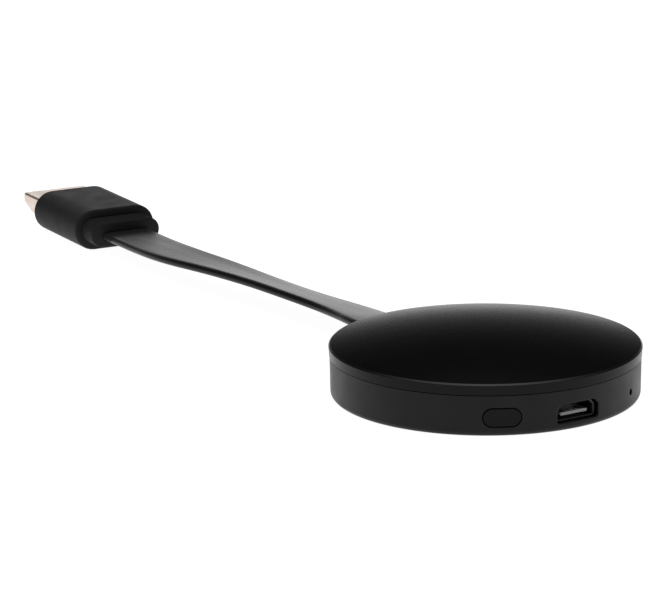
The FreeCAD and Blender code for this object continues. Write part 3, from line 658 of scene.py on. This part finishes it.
def plug_place():
    """From the plug's own frame, in metres, to where it lies on the cable's last run."""
    end, before = Vector(CABLE_ROUTE[-1]), Vector(CABLE_ROUTE[-2])
    way = (end - before).normalized()
    back = end - way * COLLAR_DEPTH * MM
    turn = -math.atan2(way.x, way.y)
    return Matrix.Translation((back.x, back.y, 0)) @ Matrix.Rotation(turn, 4, "Z")


def at_y(points, y):
    return [(x, y, z) for x, z in points]


def edge_rings(w, h, y, radius, inward):
    """Rings of a rounded end edge: inward is +1 where the body lies towards +Y."""
    rings = []
    for k in range(7):
        t = math.pi / 2 * k / 6
        grow = radius * (math.sin(t) - 1)
        rings.append(at_y(stadium(w, h, grow, HDMI_Z), y + inward * radius * (1 - math.cos(t))))
    rings.append(at_y(stadium(w, h, 0, HDMI_Z), y + inward * (radius + 0.1)))
    return rings


def make_overmold(place):
    mould = Mould()
    rings = edge_rings(PLUG_W, PLUG_H, 0.0, PLUG_EDGE, 1)
    rings += reversed(edge_rings(PLUG_W, PLUG_H, PLUG_LEN, PLUG_EDGE, -1))
    back, front = mould.loft(rings)
    seat = stadium(COLLAR_W, COLLAR_H, 0.05, HDMI_Z)
    mouth, bottom = mould.loft([at_y(seat, 0.0), at_y(seat, COLLAR_DEPTH)])
    mould.fill(back, mouth)
    mould.fill(bottom)
    throat = hdmi_outline(-0.04)
    mouth, bottom = mould.loft([at_y(throat, PLUG_LEN), at_y(throat, PLUG_LEN - 2.0)])
    mould.fill(front, mouth)
    mould.fill(bottom)
    return mould.piece("overmold_skin", "plug_mould", "puck", ["plug_overmold"], place=place)


def make_collar(place):
    mould = Mould()
    rings = edge_rings(COLLAR_W, COLLAR_H, -COLLAR_LEN, COLLAR_EDGE, 1)
    rings.append(at_y(stadium(COLLAR_W, COLLAR_H, 0, HDMI_Z), COLLAR_DEPTH))
    back, front = mould.loft(rings)
    slot = stadium(CABLE_W, CABLE_T, 0.06, COLLAR_CABLE_Z)
    lip = stadium(CABLE_W, CABLE_T, 0.16, COLLAR_CABLE_Z)
    hole = [at_y(lip, -COLLAR_LEN), at_y(slot, 0.1 - COLLAR_LEN), at_y(slot, COLLAR_DEPTH)]
    mouth, far = mould.loft(hole)
    mould.fill(back, mouth)
    mould.fill(front, far)
    return mould.piece("collar_skin", "plug_mould", "puck", ["plug_collar"], place=place)


def make_hdmi(place):
    """The plug's folded shell, with the spring windows cut through its wide sides."""
    mould = Mould()
    steps = [
        (0.0, HDMI_BACK), (0.0, HDMI_TIP - 0.2), (0.02, HDMI_TIP - 0.08), (0.1, HDMI_TIP),
        (HDMI_SHEET - 0.1, HDMI_TIP), (HDMI_SHEET, HDMI_TIP - 0.1), (HDMI_SHEET, HDMI_TIP - 0.2),
        (HDMI_SHEET, HDMI_BACK),
    ]
    outer, inner = mould.loft([at_y(hdmi_outline(shrink), y) for shrink, y in steps])
    mould.bridge(inner, outer)
    shell = mould.piece("hdmi_skin", "plug_metal", "puck", ["hdmi_shell"], place=place)
    cut_windows(shell, place)
    return shell


def cut_windows(shell, place):
    cutter = Mould()
    y = (HDMI_TIP - SPRING_Y[0], HDMI_TIP - SPRING_Y[1])
    for x in (-SPRING_X, SPRING_X):
        cutter.block((x - SPRING_HALF, x + SPRING_HALF), y, (0.0, PLUG_H))
    bmesh.ops.transform(cutter.bm, matrix=place, verts=cutter.bm.verts)
    bmesh.ops.recalc_face_normals(cutter.bm, faces=cutter.bm.faces)
    cut_mesh = bpy.data.meshes.new("windows")
    cutter.bm.to_mesh(cut_mesh)
    cutter.bm.free()
    cut = bpy.data.objects.new("windows", cut_mesh)
    bpy.context.scene.collection.objects.link(cut)
    step = shell.modifiers.new("windows", "BOOLEAN")
    step.object = cut
    step.operation = "DIFFERENCE"
    step.solver = "EXACT"
    bpy.context.view_layer.update()
    solved = shell.evaluated_get(bpy.context.evaluated_depsgraph_get())
    made = bpy.data.meshes.new_from_object(solved)
    shell.modifiers.clear()
    shell.data = made
    made.set_sharp_from_angle(angle=math.radians(35))
    bpy.data.objects.remove(cut)


# --- stage ------------------------------------------------------------------------------
def add_camera():
    data = bpy.data.cameras.new("camera")
    data.lens = CAMERA_LENS
    data.clip_start = 0.01
    cam = bpy.data.objects.new("camera", data)
    bpy.context.scene.collection.objects.link(cam)
    look = (CAMERA_AIM - CAMERA_AT).to_track_quat("-Z", "Y").to_matrix().to_4x4()
    cam.matrix_world = Matrix.Translation(CAMERA_AT) @ look @ Matrix.Rotation(CAMERA_ROLL, 4, "Z")
    bpy.context.scene.camera = cam


def add_floor():
    mesh = bpy.data.meshes.new("floor")
    s = FLOOR_HALF
    mesh.from_pydata([(-s, -s, 0), (s, -s, 0), (s, s, 0), (-s, s, 0)], [], [(0, 1, 2, 3)])
    floor = bpy.data.objects.new("floor", mesh)
    bpy.context.scene.collection.objects.link(floor)
    mat = finish("floor_finish", (0.35, 0.35, 0.35), 0.9, spec=0.05, tone=0.01)
    shader = mat.node_tree.nodes["Principled BSDF"]
    shader.inputs["Emission Color"].default_value = (1, 1, 1, 1)
    shader.inputs["Emission Strength"].default_value = FLOOR_GLOW
    mesh.materials.append(mat)


def add_light(name, at, aim, size, power):
    data = bpy.data.lights.new(name, "AREA")
    data.shape = "RECTANGLE"
    data.size, data.size_y = size
    data.energy = power
    lamp = bpy.data.objects.new(name, data)
    bpy.context.scene.collection.objects.link(lamp)
    lamp.location = at
    lamp.rotation_euler = (Vector(aim) - Vector(at)).to_track_quat("-Z", "Y").to_euler()
    return lamp


def add_panel(name, spot, size, power, pieces):
    """A panel behind the object that lights the given pieces, and only them."""
    ray = (spot - CAMERA_AT).normalized()
    ray.z = -ray.z
    lamp = add_light(name, spot + ray * PANEL_AWAY, spot, size, power)
    lamp.visible_camera = False
    group = bpy.data.collections.new(name + "_pieces")
    for piece in pieces:
        group.objects.link(piece)
    lamp.light_linking.receiver_collection = group


def add_sky():
    """A soft studio: a faint glow at the horizon, dark above it, and a bright ceiling overhead."""
    world = bpy.data.worlds.new("studio")
    bpy.context.scene.world = world
    world.use_nodes = True
    tree = world.node_tree
    coords = tree.nodes.new("ShaderNodeTexCoord")
    split = tree.nodes.new("ShaderNodeSeparateXYZ")
    ramp = tree.nodes.new("ShaderNodeValToRGB")
    ramp.color_ramp.interpolation = "B_SPLINE"
    stops = ramp.color_ramp.elements
    while len(stops) < len(SKY):
        stops.new(0.5)
    for stop, (elevation, glow) in zip(stops, SKY):
        stop.position = math.sin(math.radians(elevation))
        stop.color = (glow, glow, glow, 1)
    tree.links.new(coords.outputs["Generated"], split.inputs["Vector"])
    tree.links.new(split.outputs["Z"], ramp.inputs["Fac"])
    tree.links.new(ramp.outputs["Color"], tree.nodes["Background"].inputs["Color"])
    tree.nodes["Background"].inputs["Strength"].default_value = SKY_STRENGTH


bpy.context.scene.view_settings.view_transform = "Standard"
add_camera()
path = route_points()
cable = make_cable(path)
place = plug_place()
overmold = make_overmold(place)
collar = make_collar(place)
shell = make_hdmi(place)
finish_nodes()
make_cover()
make_housing()
make_button()
make_port()
add_floor()
plug_spot = place @ Vector((0, (HDMI_TIP - 4) * MM, HDMI_Z * MM))
add_panel("plug_panel", plug_spot, *PLUG_PANEL, [shell])
add_panel("cable_panel", Vector(CABLE_ROUTE[4]), *CABLE_PANEL, [cable, overmold])
add_sky()
